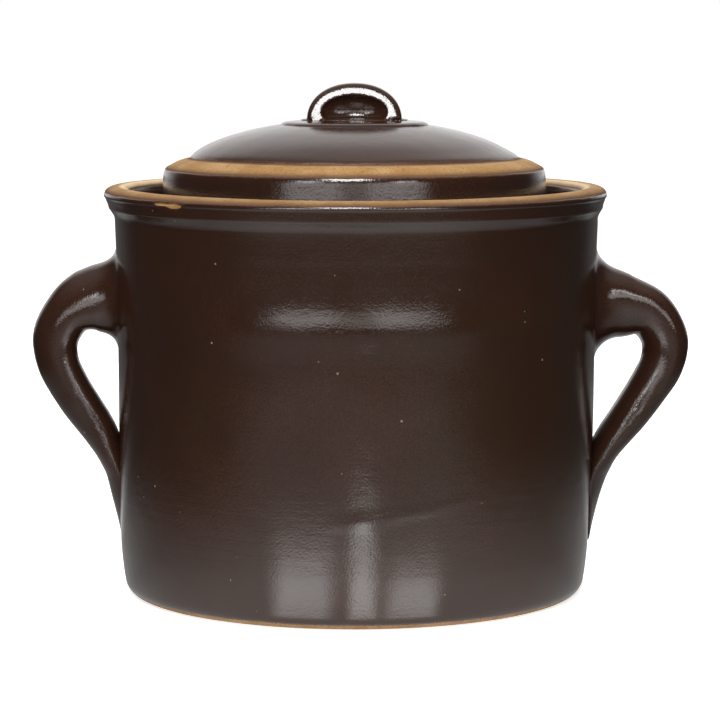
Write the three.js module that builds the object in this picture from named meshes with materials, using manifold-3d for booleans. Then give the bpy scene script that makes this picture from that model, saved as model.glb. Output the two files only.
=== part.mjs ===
// A five-litre stoneware fermenting crock: a wheel-made pot with two pulled handles, a water-seal
// channel inside its rim, a domed cap lid with a scooped grip, and two half-moon weighting stones.
// Millimetres, +Z up. The origin is the centre of the flat base. The handles lie along X.

import * as THREE from "three";
import { mergeVertices } from "three/addons/utils/BufferGeometryUtils.js";
import Module from "manifold-3d";

const wasm = await Module();
wasm.setup();

// ---- Driving dimensions ------------------------------------------------------------------

const GAP = 0.3; // luted pieces, and pieces that rest on each other, stay this far apart
const AROUND = 56; // segments of a full turn
const CURVE_STEPS = 4; // segments of each curved stretch of a turned outline

const BASE_RADIUS = 101; // flat underside
const WALL_RADIUS = 111.2; // outside of the wall at half height
const FOOT_CURVE = [107.6, 6]; // radius and height where the rounded foot ends
const RIM_RADIUS = 117.1; // widest point, just under the top of the rim
const RIM_TOP = 190;
const RIM_EDGE = 186.2; // height of the widest point
const BAND_FOOT = 178.2; // lower edge of the thickened rim band
// The wall above the foot, as radius and height: it swells slightly, then flares into the rim band.
const WALL_LINE = [
  [109.4, 24],
  [WALL_RADIUS, 90],
  [WALL_RADIUS + 0.2, 135],
  [WALL_RADIUS + 1.1, 168],
  [WALL_RADIUS + 2.4, BAND_FOOT - 1.5],
  [WALL_RADIUS + 3.4, BAND_FOOT],
  [RIM_RADIUS, RIM_EDGE],
];
const BODY_INSIDE = 101.5; // inside radius below the channel
const CHANNEL_WALL = 104; // inside radius of the channel's outer wall
const FLOOR_TOP = 11;

const LEDGE = 142.7; // step in the wall that carries the channel ring
const CHANNEL_FLOOR = 152;
const COLLAR_OUTSIDE = 77.5;
const COLLAR_INSIDE = 70.5;
const COLLAR_TOP = 184;

const SKIRT_OUTSIDE = 89; // lid
const SKIRT_INSIDE = 83.5;
const SKIRT_FOOT = CHANNEL_FLOOR + GAP;
const SHOULDER_EDGE = 198.6; // outer edge of the bare sloping shoulder
const SHOULDER_TOP = 203.1; // where the shoulder meets the dome
const DOME_FOOT = 76.7;
const DOME = { radius: 79, centre: 197.5, rise: 22.9 }; // half ellipse
const DOME_STEPS = 7;
const DOME_INSIDE = { radius: 74, centre: 193, rise: 18 };
const VENT_RADIUS = 4; // half-round gas notches in the skirt's foot
const VENTS = 4;

const BOSS_RADIUS = 34.6;
const BOSS_FOOT = 218.2;
const BOSS_TOP = 220.4;

const GRIP_HALF_WIDTH = 22.4;
const GRIP_TOP = 237.2;
const GRIP_DEPTH = 22; // front to back
const GRIP_EDGE = 2.4; // rounding of the grip's arched edge
const GRIP_POWER = 2.25; // squareness of the arch
const GRIP_STEPS = 20;
const SCOOP = { halfWidth: 20.2, halfHeight: 14.2, depth: 8.2, centre: 221 };

const STONE_RADIUS = 84;
const STONE_THICKNESS = 14;
const STONE_SPLIT = 2; // gap between the two halves
const STONE_NOTCH = 13;
const STONE_EDGE = 1.5;

// Each handle as stations [x, z, half thickness, half width] along its middle line, from the
// upper root, round the bow and down the tail. x is the distance from the crock's axis.
const LEFT_HANDLE = [
  [103, 138, 24, 19],
  [113, 138, 20, 16.5],
  [121, 137, 16, 14.5],
  [130, 133.6, 13.6, 13.5],
  [137, 127, 12.2, 13],
  [140.3, 115, 10.9, 12.4],
  [136.5, 100, 9.7, 11.7],
  [126.9, 84.3, 8.8, 11],
  [119.5, 73, 7.4, 11],
  [113.5, 58, 5.2, 10.7],
  [110.3, 43, 4, 9.5],
  [109, 30, 3, 7.5],
  [106.5, 19, 2, 5],
];
const RIGHT_HANDLE = [
  [103, 136.5, 25, 19],
  [113, 135.3, 20.8, 16.5],
  [122, 133.2, 16.9, 14.5],
  [132, 131, 13.5, 13.5],
  [140.5, 126, 12.2, 13],
  [145.2, 114.5, 10.8, 12.4],
  [141, 100, 9.6, 11.7],
  [130.5, 84.3, 8.3, 11],
  [122.7, 73.5, 7.4, 11],
  [115, 58, 5.6, 10.7],
  [110.8, 43.5, 4, 9.5],
  [109, 31, 3.2, 7.5],
  [106.5, 20, 2, 5],
];
const HANDLE_RINGS = 26;
const HANDLE_SIDES = 16;

// ---- Materials ---------------------------------------------------------------------------

const brownGlaze = new THREE.MeshStandardMaterial({ color: 0x3a2721, roughness: 0.28, metalness: 0 });
const bareClay = new THREE.MeshStandardMaterial({ color: 0xb98a58, roughness: 0.85, metalness: 0 });

// ---- Solids ------------------------------------------------------------------------------

// A closed geometry as a manifold-3d solid.
function solidOf(geometry) {
  const bare = new THREE.BufferGeometry().setAttribute("position", geometry.getAttribute("position"));
  bare.setIndex(geometry.index);
  const merged = mergeVertices(bare, 1e-3);
  return new wasm.Manifold(
    new wasm.Mesh({
      numProp: 3,
      vertProperties: merged.attributes.position.array,
      triVerts: new Uint32Array(merged.index.array),
    }),
  );
}

// A manifold-3d solid as a geometry.
function geometryOf(solid) {
  const mesh = solid.getMesh();
  const geometry = new THREE.BufferGeometry();
  geometry.setAttribute("position", new THREE.BufferAttribute(mesh.vertProperties, mesh.numProp));
  geometry.setIndex(new THREE.BufferAttribute(mesh.triVerts, 1));
  geometry.computeVertexNormals();
  return geometry;
}

// A path of (radius, height) turned round Z. The path runs anticlockwise round the material.
function turned(path) {
  return new THREE.LatheGeometry(path.getPoints(CURVE_STEPS), AROUND).rotateX(Math.PI / 2);
}

// A closed loop of (radius, height) turned round Z.
function turnedRing(path) {
  const points = path.getPoints(CURVE_STEPS);
  points[points.length - 1].copy(points[0]);
  return new THREE.LatheGeometry(points, AROUND).rotateX(Math.PI / 2);
}

// ---- Crock body --------------------------------------------------------------------------

// The outside of the pot from the edge of its base to the top of the rim, grown by a margin.
function traceOutside(path, margin) {
  path.lineTo(BASE_RADIUS + margin, -margin);
  const [radius, height] = FOOT_CURVE;
  path.bezierCurveTo(105 + margin, -margin, radius - 0.6 + margin, 2, radius + margin, height);
  for (const [r, z] of WALL_LINE) path.lineTo(r + margin, z);
}

function crockBody() {
  const path = new THREE.Path();
  path.moveTo(0, 0);
  traceOutside(path, 0);
  path.bezierCurveTo(RIM_RADIUS + 0.3, 188, 114.5, RIM_TOP, 110.5, RIM_TOP);
  path.bezierCurveTo(107, RIM_TOP, 104.6, 189, CHANNEL_WALL + 0.1, 185);
  path.lineTo(CHANNEL_WALL, LEDGE);
  path.lineTo(BODY_INSIDE, LEDGE);
  path.lineTo(BODY_INSIDE - 0.5, FLOOR_TOP + 11);
  path.quadraticCurveTo(BODY_INSIDE - 0.5, FLOOR_TOP, 90, FLOOR_TOP);
  path.lineTo(0, FLOOR_TOP);
  return turned(path);
}

// The gutter's floor with the collar round the mouth, thrown as a ring and luted inside the wall.
function channelRing() {
  const foot = LEDGE + GAP;
  const outside = CHANNEL_WALL - GAP;
  const path = new THREE.Path();
  path.moveTo(COLLAR_INSIDE + 3, foot);
  path.lineTo(outside, foot);
  path.lineTo(outside, CHANNEL_FLOOR + 1);
  path.quadraticCurveTo(outside - 1, CHANNEL_FLOOR, outside - 5, CHANNEL_FLOOR);
  path.lineTo(COLLAR_OUTSIDE + 2, CHANNEL_FLOOR);
  path.quadraticCurveTo(COLLAR_OUTSIDE, CHANNEL_FLOOR, COLLAR_OUTSIDE, CHANNEL_FLOOR + 4);
  path.lineTo(COLLAR_OUTSIDE - 0.8, COLLAR_TOP - 3);
  path.quadraticCurveTo(COLLAR_OUTSIDE - 1, COLLAR_TOP, (COLLAR_OUTSIDE + COLLAR_INSIDE) / 2, COLLAR_TOP);
  path.quadraticCurveTo(COLLAR_INSIDE + 0.6, COLLAR_TOP, COLLAR_INSIDE + 0.5, COLLAR_TOP - 3);
  path.lineTo(COLLAR_INSIDE, foot + 3);
  path.quadraticCurveTo(COLLAR_INSIDE, foot, COLLAR_INSIDE + 3, foot);
  return turnedRing(path);
}

// ---- Handles -----------------------------------------------------------------------------

// Closed skin over rings of the same number of points, with a fan at each end.
function skin(rings) {
  const sides = rings[0].length;
  const middles = [rings[0], rings.at(-1)].map((ring) =>
    ring.reduce((sum, point) => sum.add(point), new THREE.Vector3()).divideScalar(sides),
  );
  const points = [...rings.flat(), ...middles];
  const first = points.length - 2;
  const last = points.length - 1;
  const faces = [];
  for (let side = 0; side < sides; side++) {
    const next = (side + 1) % sides;
    for (let ring = 0; ring + 1 < rings.length; ring++) {
      const a = ring * sides + side;
      const b = ring * sides + next;
      faces.push(a, b, a + sides, b, b + sides, a + sides);
    }
    faces.push(next, side, first);
    faces.push((rings.length - 1) * sides + side, (rings.length - 1) * sides + next, last);
  }
  const geometry = new THREE.BufferGeometry().setFromPoints(points);
  geometry.setIndex(faces);
  return geometry;
}

// A handle swept along its stations with a rounded section, trimmed to stand off the wall by GAP.
function handle(stations) {
  const line = new THREE.CatmullRomCurve3(stations.map(([x, z]) => new THREE.Vector3(x, 0, z)), false, "centripetal");
  const size = new THREE.CatmullRomCurve3(stations.map(([, , t, w]) => new THREE.Vector3(t, w, 0)), false, "centripetal");
  const across = new THREE.Vector3(0, 1, 0);
  const rings = [];
  for (let ring = 0; ring <= HANDLE_RINGS; ring++) {
    const share = ring / HANDLE_RINGS;
    const middle = line.getPoint(share);
    const out = line.getTangent(share).cross(across).negate();
    const { x: thick, y: wide } = size.getPoint(share);
    rings.push(
      Array.from({ length: HANDLE_SIDES }, (_, side) => {
        const turn = (2 * Math.PI * side) / HANDLE_SIDES;
        return middle
          .clone()
          .addScaledVector(out, thick * Math.cos(turn))
          .addScaledVector(across, wide * Math.sin(turn));
      }),
    );
  }
  const envelope = new THREE.Path();
  envelope.moveTo(0, -GAP);
  traceOutside(envelope, GAP);
  envelope.lineTo(0, RIM_EDGE);
  return solidOf(skin(rings)).subtract(solidOf(turned(envelope)));
}

// ---- Lid ---------------------------------------------------------------------------------

// Height of a half ellipse at a radius.
function domeHeight({ radius, centre, rise }, r) {
  return centre + rise * Math.sqrt(1 - (r / radius) ** 2);
}

// The stretch of a half ellipse between two radii.
function traceDome(path, dome, from, to) {
  const start = Math.asin(from / dome.radius);
  const end = Math.asin(to / dome.radius);
  for (let step = 1; step <= DOME_STEPS; step++) {
    const r = dome.radius * Math.sin(start + ((end - start) * step) / DOME_STEPS);
    path.lineTo(r, domeHeight(dome, r));
  }
}

function lidCover() {
  const seat = BOSS_FOOT - GAP;
  const insideEdge = 66;
  const path = new THREE.Path();
  path.moveTo(0, domeHeight(DOME_INSIDE, 0));
  traceDome(path, DOME_INSIDE, 0, insideEdge);
  path.quadraticCurveTo(SKIRT_INSIDE, 197, SKIRT_INSIDE, 190);
  path.lineTo(SKIRT_INSIDE, SKIRT_FOOT + 2);
  path.quadraticCurveTo(SKIRT_INSIDE, SKIRT_FOOT, SKIRT_INSIDE + 2, SKIRT_FOOT);
  path.lineTo(SKIRT_OUTSIDE - 2, SKIRT_FOOT);
  path.quadraticCurveTo(SKIRT_OUTSIDE, SKIRT_FOOT, SKIRT_OUTSIDE, SKIRT_FOOT + 2);
  path.lineTo(SKIRT_OUTSIDE, SHOULDER_EDGE - 3);
  path.quadraticCurveTo(SKIRT_OUTSIDE, SHOULDER_EDGE, SKIRT_OUTSIDE - 2.2, SHOULDER_EDGE + 0.8);
  path.lineTo(DOME_FOOT, SHOULDER_TOP);
  const topEdge = DOME.radius * Math.sqrt(1 - ((seat - DOME.centre) / DOME.rise) ** 2);
  traceDome(path, DOME, DOME_FOOT, topEdge);
  path.lineTo(0, seat);
  let lid = solidOf(turned(path));
  for (let vent = 0; vent < VENTS; vent++) {
    const notch = new THREE.CylinderGeometry(VENT_RADIUS, VENT_RADIUS, 14, 16);
    notch.rotateZ(Math.PI / 2).translate((SKIRT_INSIDE + SKIRT_OUTSIDE) / 2, 0, SKIRT_FOOT);
    notch.rotateZ(((vent + 0.5) * 2 * Math.PI) / VENTS);
    lid = lid.subtract(solidOf(notch));
  }
  return lid;
}

function lidBoss() {
  const path = new THREE.Path();
  path.moveTo(0, BOSS_FOOT);
  path.lineTo(BOSS_RADIUS - 0.4, BOSS_FOOT);
  path.quadraticCurveTo(BOSS_RADIUS + 0.4, BOSS_FOOT + 1, BOSS_RADIUS - 0.8, BOSS_TOP - 0.4);
  path.lineTo(BOSS_RADIUS - 2.5, BOSS_TOP);
  path.lineTo(0, BOSS_TOP);
  return turned(path);
}

// The grip: an upright arch, pinched front and back by a scoop for the fingers.
function lidGrip() {
  const foot = BOSS_TOP + GAP;
  const rise = GRIP_TOP - BOSS_TOP;
  const arch = new THREE.Shape();
  const halfWidth = GRIP_HALF_WIDTH - GRIP_EDGE;
  const halfHeight = rise - GRIP_EDGE;
  for (let step = 0; step <= GRIP_STEPS; step++) {
    const turn = (Math.PI * step) / GRIP_STEPS;
    const x = Math.sign(Math.cos(turn)) * halfWidth * Math.abs(Math.cos(turn)) ** (2 / GRIP_POWER);
    const y = halfHeight * Math.sin(turn) ** (2 / GRIP_POWER);
    if (step === 0) arch.moveTo(x, y);
    else arch.lineTo(x, y);
  }
  arch.lineTo(-halfWidth, -GRIP_EDGE * 2);
  arch.lineTo(halfWidth, -GRIP_EDGE * 2);
  const upright = new THREE.ExtrudeGeometry(arch, {
    depth: GRIP_DEPTH - 2 * GRIP_EDGE,
    bevelThickness: GRIP_EDGE,
    bevelSize: GRIP_EDGE,
    bevelSegments: 2,
  });
  upright.translate(0, 0, GRIP_EDGE - GRIP_DEPTH / 2).rotateX(Math.PI / 2).translate(0, 0, BOSS_TOP);
  const root = new THREE.SphereGeometry(1, 24, 12).scale(26, 16, 3).translate(0, 0, BOSS_TOP);
  let grip = solidOf(upright);
  for (const side of [-1, 1]) {
    const scoop = new THREE.SphereGeometry(1, 20, 14).scale(SCOOP.halfWidth, SCOOP.depth, SCOOP.halfHeight);
    scoop.translate(0, (side * GRIP_DEPTH) / 2, SCOOP.centre);
    grip = grip.subtract(solidOf(scoop));
  }
  const below = new THREE.BoxGeometry(80, 80, 20).translate(0, 0, foot - 10);
  return grip.add(solidOf(root)).subtract(solidOf(below));
}

// ---- Weighting stones --------------------------------------------------------------------

// Half a disc with a thumb notch in its straight edge, lying on the floor on the +X side.
function weightStone() {
  const edge = STONE_EDGE;
  const straight = STONE_SPLIT / 2 + edge;
  const outer = STONE_RADIUS - edge;
  const notch = STONE_NOTCH + edge;
  const outerStart = Math.acos(straight / outer);
  const notchStart = Math.acos(straight / notch);
  const half = new THREE.Shape();
  half.absarc(0, 0, outer, -outerStart, outerStart, false);
  half.absarc(0, 0, notch, notchStart, -notchStart, true);
  half.closePath();
  const stone = new THREE.ExtrudeGeometry(half, {
    depth: STONE_THICKNESS - 2 * edge,
    bevelThickness: edge,
    bevelSize: edge,
    bevelSegments: 1,
    curveSegments: 18,
  });
  return stone.translate(0, 0, edge);
}

// ---- Assembly ----------------------------------------------------------------------------

const crock = new THREE.Group();

function addPart(parent, name, shape, material) {
  const geometry = shape.isBufferGeometry ? shape : geometryOf(shape);
  const mesh = new THREE.Mesh(geometry, material);
  mesh.name = name;
  parent.add(mesh);
  return mesh;
}

addPart(crock, "crock_body", crockBody(), brownGlaze);
addPart(crock, "channel_ring", channelRing(), brownGlaze);
addPart(crock, "handle_right", handle(RIGHT_HANDLE), brownGlaze);
addPart(crock, "handle_left", handle(LEFT_HANDLE), brownGlaze).rotation.z = Math.PI;

const lid = new THREE.Group();
addPart(lid, "lid_cover", lidCover(), brownGlaze);
addPart(lid, "lid_boss", lidBoss(), brownGlaze);
addPart(lid, "lid_grip", lidGrip(), brownGlaze);
crock.add(lid);

for (const [name, turn] of [["weight_stone_right", 0], ["weight_stone_left", Math.PI]]) {
  const stone = addPart(crock, name, weightStone(), bareClay);
  stone.rotation.z = turn;
  stone.position.z = FLOOR_TOP + GAP;
}

export default crock;
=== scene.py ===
"""Looks for a stoneware water-seal fermenting crock: a thrown pot with two pulled handles, a cap lid
with a scooped grip, and two weighting stones.

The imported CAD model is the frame. Every piece here is a finer mesh that takes its place and its main
sizes from the CAD node it stands for. Shapes are worked out in millimetres, and become metres when
their mesh is made; materials, lamps and the camera are in metres throughout. Angles round the pot are
degrees from its front (-Y) towards +X.
"""

import math

import bmesh
import bpy
import numpy as np
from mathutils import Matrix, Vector, noise


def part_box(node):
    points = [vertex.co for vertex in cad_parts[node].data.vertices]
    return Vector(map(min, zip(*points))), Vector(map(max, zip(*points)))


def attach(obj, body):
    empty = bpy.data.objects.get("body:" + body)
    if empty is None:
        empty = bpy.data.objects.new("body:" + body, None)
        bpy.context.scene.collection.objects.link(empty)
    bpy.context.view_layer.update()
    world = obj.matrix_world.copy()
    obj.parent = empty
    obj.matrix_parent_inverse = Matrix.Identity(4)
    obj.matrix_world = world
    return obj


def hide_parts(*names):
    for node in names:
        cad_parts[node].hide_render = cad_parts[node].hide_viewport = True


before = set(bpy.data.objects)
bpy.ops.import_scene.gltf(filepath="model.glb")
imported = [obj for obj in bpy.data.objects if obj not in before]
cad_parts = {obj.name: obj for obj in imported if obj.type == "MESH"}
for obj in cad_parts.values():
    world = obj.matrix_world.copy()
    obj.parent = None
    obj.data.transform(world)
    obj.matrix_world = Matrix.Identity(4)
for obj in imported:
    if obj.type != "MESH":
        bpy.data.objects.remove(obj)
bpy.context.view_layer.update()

MM = 0.001


def cad_box(node):
    """Lowest and highest corner of a CAD node, in millimetres."""
    low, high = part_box(node)
    return low / MM, high / MM


# ---- Driving sizes, from the frame -----------------------------------------------------------

BODY_HIGH = cad_box("crock_body")[1]
RING_LOW, RING_HIGH = cad_box("channel_ring")
LID_LOW, LID_HIGH = cad_box("lid_cover")
BOSS_LOW, BOSS_HIGH = cad_box("lid_boss")
GRIP_HIGH = cad_box("lid_grip")[1]

RIM_RADIUS = BODY_HIGH.x
RIM_TOP = BODY_HIGH.z
WALL_RADIUS = RIM_RADIUS - 5.9
FOOT_RADIUS = WALL_RADIUS - 9.4
BAND_FOOT = RIM_TOP - 11.6
CHANNEL_WALL = RIM_RADIUS - 12.6
BODY_INSIDE = WALL_RADIUS - 9.7
FLOOR_TOP = 11.0
LEDGE = RING_LOW.z - 0.3
CHANNEL_FLOOR = LID_LOW.z - 0.3
COLLAR_TOP = RING_HIGH.z
COLLAR_OUTSIDE = 77.5
COLLAR_INSIDE = 70.5
SKIRT_RADIUS = LID_HIGH.x
SKIRT_INSIDE = SKIRT_RADIUS - 5.5
SHOULDER_EDGE = LID_HIGH.z - 19.9
DOME_FOOT = SKIRT_RADIUS - 12.3

# How far down from its top the rim is bare of glaze.
RIM_BARE = 2.6
# How far the thrown wall leans towards the +X handle above the foot.
LEAN = 0.9
# Depth into bare clay, in millimetres: above zero the clay is bare, below it is glazed.
GLAZE_ONLY = -10.0
CLAY_ONLY = 3.0


# ---- Mesh helpers ----------------------------------------------------------------------------

class Outline:
    """A path of (radius, height) drawn anticlockwise round the material of a turned piece."""

    def __init__(self, radius, height):
        self.points = [(radius, height)]

    def line(self, radius, height, steps=1):
        r0, z0 = self.points[-1]
        for step in range(1, steps + 1):
            share = step / steps
            self.points.append((r0 + (radius - r0) * share, z0 + (height - z0) * share))
        return self

    def curve(self, first, second, end, steps=8):
        """A cubic curve with two control points."""
        start = self.points[-1]
        for step in range(1, steps + 1):
            t = step / steps
            weights = ((1 - t) ** 3, 3 * t * (1 - t) ** 2, 3 * t * t * (1 - t), t ** 3)
            corners = (start, first, second, end)
            r = sum(w * p[0] for w, p in zip(weights, corners))
            z = sum(w * p[1] for w, p in zip(weights, corners))
            self.points.append((r, z))
        return self

    def bend(self, control, end, steps=6):
        """A quadratic curve with one control point."""
        r0, z0 = self.points[-1]
        first = (r0 + (control[0] - r0) * 2 / 3, z0 + (control[1] - z0) * 2 / 3)
        second = (end[0] + (control[0] - end[0]) * 2 / 3, end[1] + (control[1] - end[1]) * 2 / 3)
        return self.curve(first, second, end, steps)


def set_measure(made, measure, values):
    """Stores one number for each point of a mesh, for its material to read."""
    attribute = made.data.attributes.new(measure, "FLOAT", "POINT")
    attribute.data.foreach_set("value", values)


def shade_smooth(mesh):
    for polygon in mesh.polygons:
        polygon.use_smooth = True


def make_object(name, points, faces):
    """A smooth-shaded mesh object from points in millimetres."""
    mesh = bpy.data.meshes.new(name)
    mesh.from_pydata([tuple(c * MM for c in p) for p in points], [], faces)
    recalculated = bmesh.new()
    recalculated.from_mesh(mesh)
    bmesh.ops.recalc_face_normals(recalculated, faces=recalculated.faces)
    recalculated.to_mesh(mesh)
    recalculated.free()
    shade_smooth(mesh)
    made = bpy.data.objects.new(name, mesh)
    bpy.context.scene.collection.objects.link(made)
    return made


def turned(name, outline, bare_depth, relief=None, segments=288):
    """A piece turned on the wheel.

    bare_depth(r, z, angle) gives each point's depth into bare clay, and relief(angle, r, z) how far
    it moves outward and upward."""
    closed = outline.points[0] == outline.points[-1]
    path = outline.points[:-1] if closed else outline.points
    points, bare, rows = [], [], []
    for r, z in path:
        if r < 1e-6:
            rows.append([len(points)] * segments)
            points.append((0, 0, z))
            bare.append(bare_depth(r, z, 0))
            continue
        row = []
        for k in range(segments):
            angle = 360 * k / segments - 180
            out, up = relief(angle, r, z) if relief else (0, 0)
            turn = math.radians(angle)
            row.append(len(points))
            points.append(((r + out) * math.sin(turn), -(r + out) * math.cos(turn), z + up))
            bare.append(bare_depth(r, z, angle))
        rows.append(row)
    pairs = list(zip(rows, rows[1:]))
    if closed:
        pairs.append((rows[-1], rows[0]))
    faces = []
    for low, high in pairs:
        for k in range(segments):
            n = (k + 1) % segments
            corners = [low[k], low[n], high[n], high[k]]
            faces.append(list(dict.fromkeys(corners)))
    piece = make_object(name, points, faces)
    set_measure(piece, "bare", bare)
    return piece


def smoothstep(low, high, value):
    t = min(1, max(0, (value - low) / (high - low)))
    return t * t * (3 - 2 * t)


def bell(distance, width):
    return math.exp(-((distance / width) ** 2))


def wander(angle, z, size, seed):
    """Smooth noise over a turned surface, about -1 to 1, with lumps of about this size."""
    turn = math.radians(angle)
    scale = WALL_RADIUS / size
    return noise.noise(Vector((math.sin(turn) * scale, math.cos(turn) * scale, z / size + seed)))


# ---- The pot ---------------------------------------------------------------------------------

def pot_outside():
    """The outside of the pot from the centre of its base to the lip's widest line."""
    path = Outline(0, 0).line(FOOT_RADIUS - 1, 0, 6)
    path.curve((FOOT_RADIUS + 2.6, 0), (WALL_RADIUS - 4.7, 2.2), (WALL_RADIUS - 3.7, 5), 10)
    path.curve((WALL_RADIUS - 2.9, 9), (WALL_RADIUS - 1.9, 17), (WALL_RADIUS - 1.5, 24), 10)
    path.curve((WALL_RADIUS - 0.8, 42), (WALL_RADIUS - 0.2, 62), (WALL_RADIUS, 85), 34)
    path.curve((WALL_RADIUS, 110), (WALL_RADIUS + 0.2, 140), (WALL_RADIUS + 0.6, 160), 40)
    path.curve((WALL_RADIUS + 0.9, 166), (WALL_RADIUS + 1.0, 171),
               (WALL_RADIUS + 1.3, BAND_FOOT - 3.6), 9)
    path.bend((WALL_RADIUS + 1.5, BAND_FOOT - 2.6), (WALL_RADIUS + 2.4, BAND_FOOT - 1.4), 5)
    path.line(WALL_RADIUS + 4.5, BAND_FOOT + 0.8, 3)
    path.bend((WALL_RADIUS + 5.2, BAND_FOOT + 1.4), (WALL_RADIUS + 5.3, BAND_FOOT + 2.1), 4)
    path.line(RIM_RADIUS - 0.4, RIM_TOP - 5.2, 5)
    path.bend((RIM_RADIUS, RIM_TOP - 4.9), (RIM_RADIUS, RIM_TOP - 4.4), 4)
    return path


WALL_POINTS = [p for p in pot_outside().points if p[1] > 0]


def wall_radius(z):
    return float(np.interp(z, [p[1] for p in WALL_POINTS], [p[0] for p in WALL_POINTS]))


# Depth into bare clay in the middle of a flake.
CHIP_DEPTH = 2.4
# Two touching flakes: angle, height, half turn in degrees, half height.
CHIP = [(-42.9, RIM_TOP - 4.4, 2.2, 1.6), (-46.7, RIM_TOP - 4.0, 2.2, 1.0)]


def chip_share(angle, z):
    """How far inside the chipped patch a point lies: 1 in a flake's middle, below 0 outside."""
    ragged = 0.35 * noise.noise(Vector((angle * 0.9, z * 0.9, 4)))
    flakes = (math.hypot((angle - turn) / half_turn, (z - height) / half_height)
              for turn, height, half_turn, half_height in CHIP)
    return 1 - min(flakes) + ragged


def pot_bare_depth(r, z, angle):
    """Bare on the rim's top, in the chip, along a thin line above the foot, and underneath. The lowest 0.6
    mm of the outside stays glazed, its dark glaze standing in as painted shade under the foot.
    """
    if r < CHANNEL_WALL - 2:
        return GLAZE_ONLY if z > 1 else CLAY_ONLY
    chip = chip_share(angle, z) * CHIP_DEPTH if r > WALL_RADIUS else GLAZE_ONLY
    lip = z - (RIM_TOP - RIM_BARE)
    # Below 0.6 mm the outside keeps the dark glaze: painted shade along the foot's lower edge.
    foot = min(2.5 - z, z - 0.6) if z > 0 else CLAY_ONLY
    return max(lip, foot, chip)


def pot_relief(angle, r, z):
    """How the thrown pot strays from a true turned shape.

    Throwing lumps, the soft belt two thirds of the way up, the slanting scar near the foot with a
    thumb-wide swelling beside it, the chip's hollow, the wall's lean, the band drawn in towards
    the sides, and the rim's dip at the front."""
    out = 0.22 * wander(angle, z, 60, 0) + 0.05 * wander(angle, z, 26, 7)
    if r < WALL_RADIUS - 6 or z < 3:
        return out * 0.4, 0
    belt_height = 131.5 + 1.2 * wander(angle, 0, 60, 3)
    swelling = 0.42 + 0.45 * bell(angle - 3, 40) + 0.25 * wander(angle, 0, 30, 5)
    out += swelling * bell(z - belt_height, 8.0)
    scar_height = 48.4 + 0.30 * angle
    scar_reach = smoothstep(-7, 2, angle) * (1 - smoothstep(14, 32, angle))
    out += 0.26 * scar_reach * bell(z - scar_height, 2.4)
    out += 0.22 * bell(z - 48.5, 4.0) * bell(angle - 2, 5.0)
    out -= 0.55 * smoothstep(-0.1, 0.5, chip_share(angle, z))
    sideways = math.sin(math.radians(angle))
    out += LEAN * sideways * smoothstep(20, 90, z) * (1 - 0.5 * smoothstep(172, 186, z))
    out -= 1.5 * smoothstep(0.6, 0.97, abs(sideways)) * bell(z - BAND_FOOT - 2, 3.6)
    ahead = max(0, math.cos(math.radians(angle)))
    dip = 0.9 * ahead ** 2 * smoothstep(RIM_TOP - 5, RIM_TOP, z)
    return out, -dip


def make_pot():
    """The pot: its outside, over the rim, down the channel's wall to the ledge, and the inside."""
    path = pot_outside()
    path.curve((RIM_RADIUS - 0.2, RIM_TOP - 1.6), (RIM_RADIUS - 2.3, RIM_TOP),
               (RIM_RADIUS - 6.1, RIM_TOP), 14)
    path.curve((RIM_RADIUS - 9.6, RIM_TOP), (CHANNEL_WALL + 0.7, RIM_TOP - 1),
               (CHANNEL_WALL + 0.1, RIM_TOP - 3.4), 9)
    path.line(CHANNEL_WALL - 0.5, LEDGE, 14)
    path.line(BODY_INSIDE, LEDGE, 2)
    path.line(BODY_INSIDE - 0.5, FLOOR_TOP + 11, 30)
    path.bend((BODY_INSIDE - 0.5, FLOOR_TOP), (BODY_INSIDE - 11.5, FLOOR_TOP), 8)
    path.line(0, FLOOR_TOP, 16)
    return turned("crock_pot", path, pot_bare_depth, pot_relief, segments=360)


def make_channel_ring():
    """The water channel's floor with the collar that stands round the mouth."""
    foot = LEDGE + 0.3
    outside = CHANNEL_WALL - 0.7
    path = Outline(COLLAR_INSIDE + 3, foot)
    path.line(outside, foot, 8)
    path.line(outside, CHANNEL_FLOOR + 4)
    path.bend((outside - 0.4, CHANNEL_FLOOR), (outside - 6, CHANNEL_FLOOR), 6)
    path.line(COLLAR_OUTSIDE + 4, CHANNEL_FLOOR, 3)
    path.bend((COLLAR_OUTSIDE, CHANNEL_FLOOR), (COLLAR_OUTSIDE, CHANNEL_FLOOR + 4), 6)
    path.line(COLLAR_OUTSIDE - 0.8, COLLAR_TOP - 3, 10)
    middle = (COLLAR_OUTSIDE + COLLAR_INSIDE) / 2
    path.bend((COLLAR_OUTSIDE - 1, COLLAR_TOP), (middle, COLLAR_TOP), 6)
    path.bend((COLLAR_INSIDE + 0.6, COLLAR_TOP), (COLLAR_INSIDE + 0.5, COLLAR_TOP - 3), 6)
    path.line(COLLAR_INSIDE, foot + 3, 10)
    path.bend((COLLAR_INSIDE, foot), (COLLAR_INSIDE + 3, foot), 6)
    return turned("channel_gutter", path, lambda r, z, angle: GLAZE_ONLY)


# ---- Handles ---------------------------------------------------------------------------------

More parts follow.
